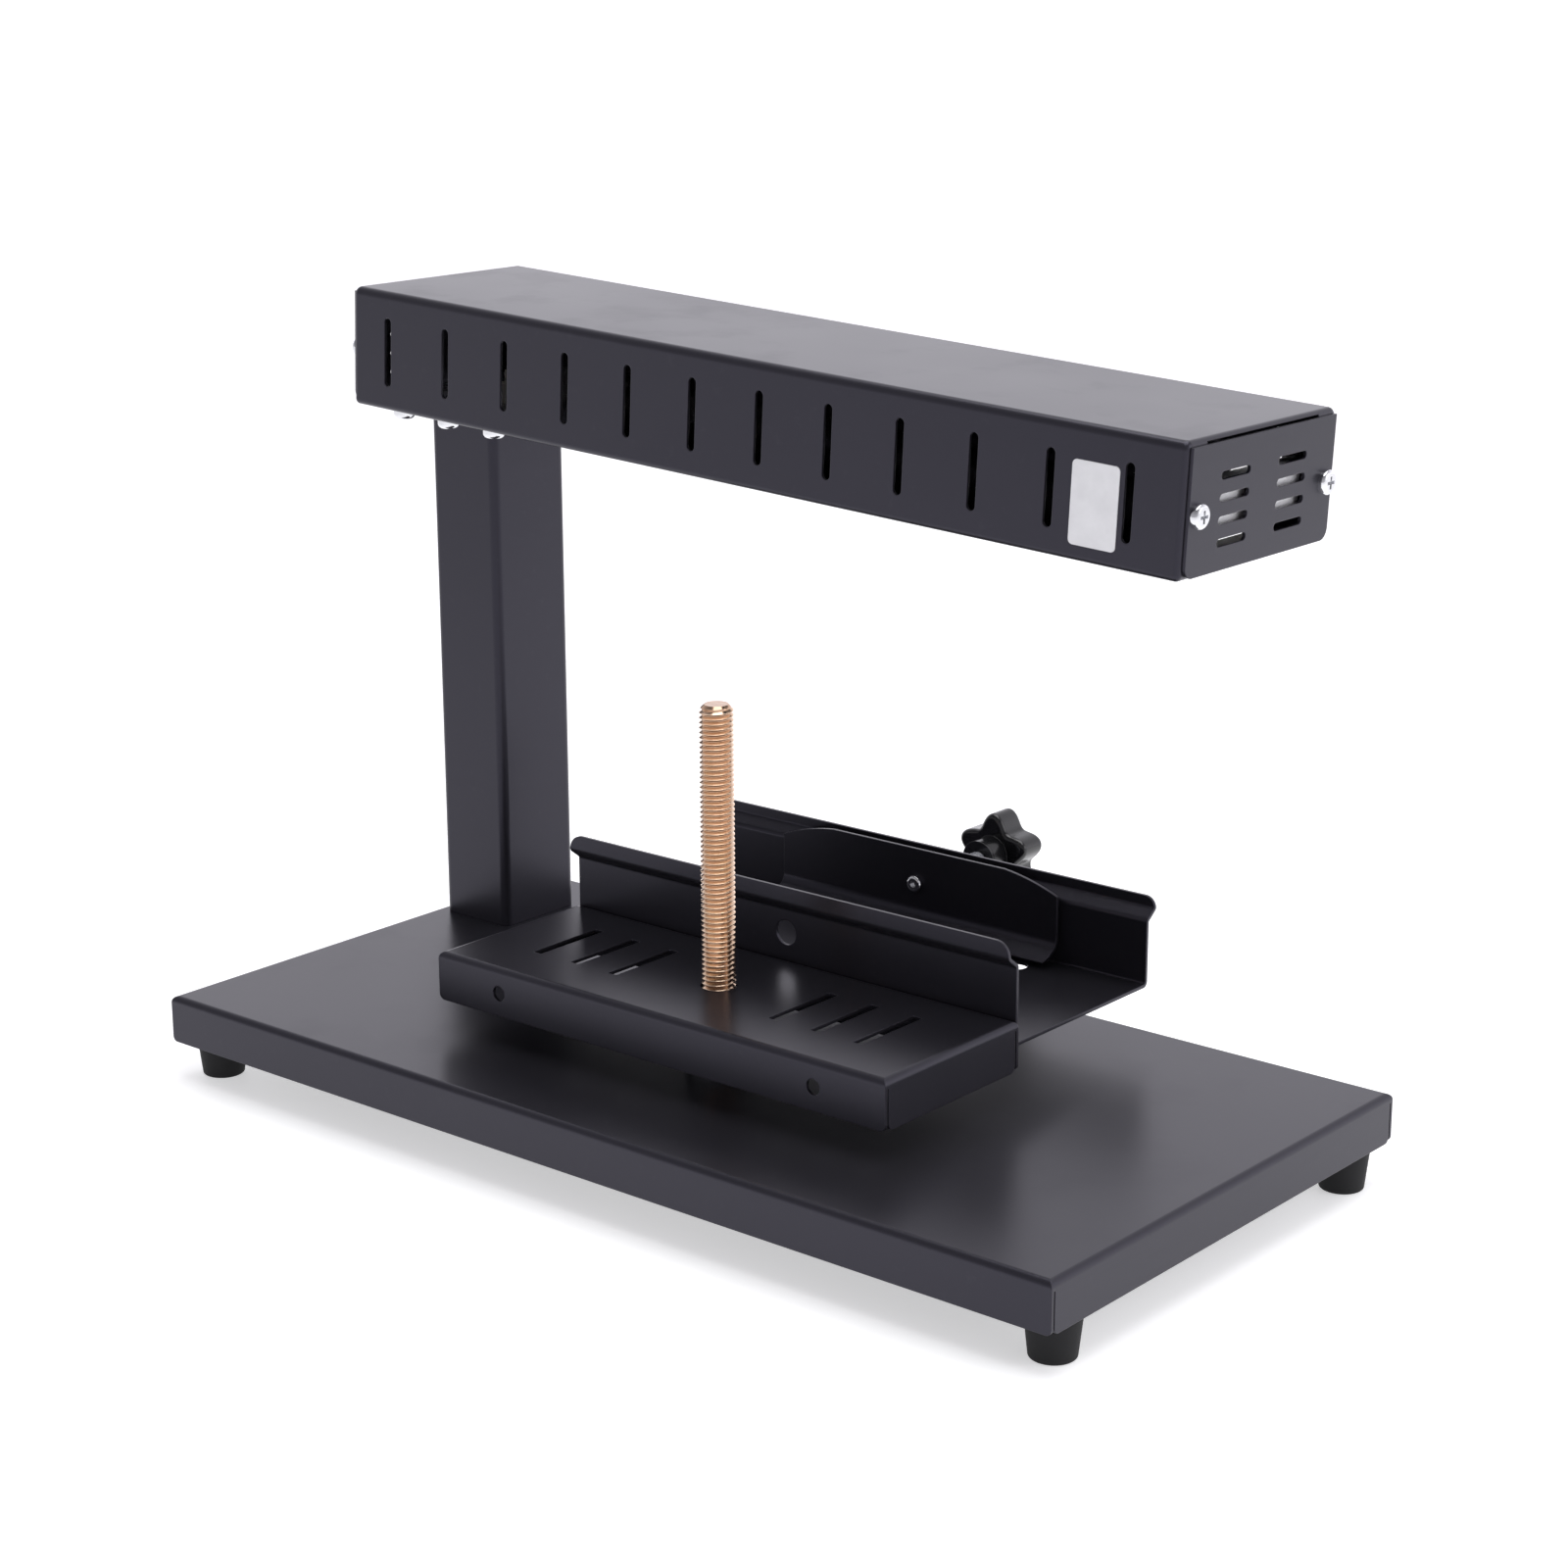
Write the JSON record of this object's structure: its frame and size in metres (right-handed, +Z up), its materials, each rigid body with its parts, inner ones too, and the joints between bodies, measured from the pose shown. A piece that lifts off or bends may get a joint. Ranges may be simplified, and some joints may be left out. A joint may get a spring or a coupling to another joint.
{
  "type": "raclette cheese melter",
  "caption": "Table-top electric raclette melter: a cantilevered radiant heater over a cheese cradle that climbs and turns on a threaded rod, with a screw clamp.",
  "frame": {"origin": "middle of the whole machine's footprint, on the plane of the four feet", "axes": "+X along the base towards the heater's free end, +Y to the back, +Z up"},
  "size_m": [0.5044, 0.31, 0.3558],
  "materials": {
    "black_coat": "satin powder coat",
    "foot_rubber": "matte",
    "zinc_steel": "zinc plated",
    "chrome": "polished",
    "black_plastic": "matte",
    "bright_aluminium": "polished",
    "stainless": "brushed",
    "quartz": "frosted",
    "white_ceramic": "matte",
    "nickel_wire": "satin",
    "label": "satin",
    "yellow_zinc": "yellow-zinc plated thread",
    "knob_plastic": "gloss"
  },
  "bodies": {
    "stand": {"base_pan": "black_coat", "foot_rail_left": "black_coat", "foot_rail_right": "black_coat", "foot_front_left": "foot_rubber", "foot_front_right": "foot_rubber", "foot_rear_left": "foot_rubber", "foot_rear_right": "foot_rubber", "foot_screws": "zinc_steel", "foot_nuts": "zinc_steel", "column": "black_coat", "column_foot": "zinc_steel", "column_bolts": "zinc_steel", "cord_gland": "black_plastic", "heater_housing": "black_coat", "end_cap_left": "black_coat", "end_cap_right": "black_coat", "end_cap_screws": "chrome", "heater_mount_plate": "zinc_steel", "heater_mount_screws": "chrome", "reflector": "bright_aluminium", "element_bracket_left": "stainless", "element_bracket_right": "bright_aluminium", "quartz_tube_front": "quartz", "quartz_tube_rear": "quartz", "ceramic_plugs": "white_ceramic", "terminal_block": "white_ceramic", "element_leads": "nickel_wire", "front_label": "label", "lift_rod": "yellow_zinc", "rod_washers": "zinc_steel", "rod_nuts": "zinc_steel"},
    "lift_carriage": {"lift_washer": "zinc_steel"},
    "lift_nut": {"lift_nut": "zinc_steel"},
    "holder": {"holder_tray": "black_coat", "cheese_cradle": "black_coat", "clamp_boss": "zinc_steel"},
    "clamp": {"clamp_plate": "black_coat"},
    "clamp_screw": {"clamp_screw": "zinc_steel", "clamp_end_screw": "chrome", "star_knob": "knob_plastic", "knob_washer": "knob_plastic"}
  },
  "joints": [
    {"name": "holder_lift", "type": "slide", "parent": "stand", "child": "lift_carriage", "axis": [0, 0, 1], "range_m": [-0.01, 0.11]},
    {"name": "lift_nut_spin", "type": "hinge", "parent": "lift_carriage", "child": "lift_nut", "pos_m": [0.00671, -0.0595, 0.066], "axis": [0, 0, 1], "continuous": true},
    {"name": "holder_swing", "type": "hinge", "parent": "lift_carriage", "child": "holder", "pos_m": [0.00671, -0.0595, 0.0744], "axis": [0, 0, 1], "continuous": true},
    {"name": "clamp_slide", "type": "slide", "parent": "holder", "child": "clamp", "axis": [0, -1, 0], "range_m": [0, 0.035]},
    {"name": "clamp_screw_spin", "type": "hinge", "parent": "clamp", "child": "clamp_screw", "pos_m": [0.00671, 0.0816, 0.0883], "axis": [0, -1, 0], "continuous": true}
  ],
  "couplings": [
    {"joint": "lift_nut_spin", "follows": "holder_lift", "rad_per_m": 2856},
    {"joint": "clamp_screw_spin", "follows": "clamp_slide", "rad_per_m": 5026.5}
  ]
}
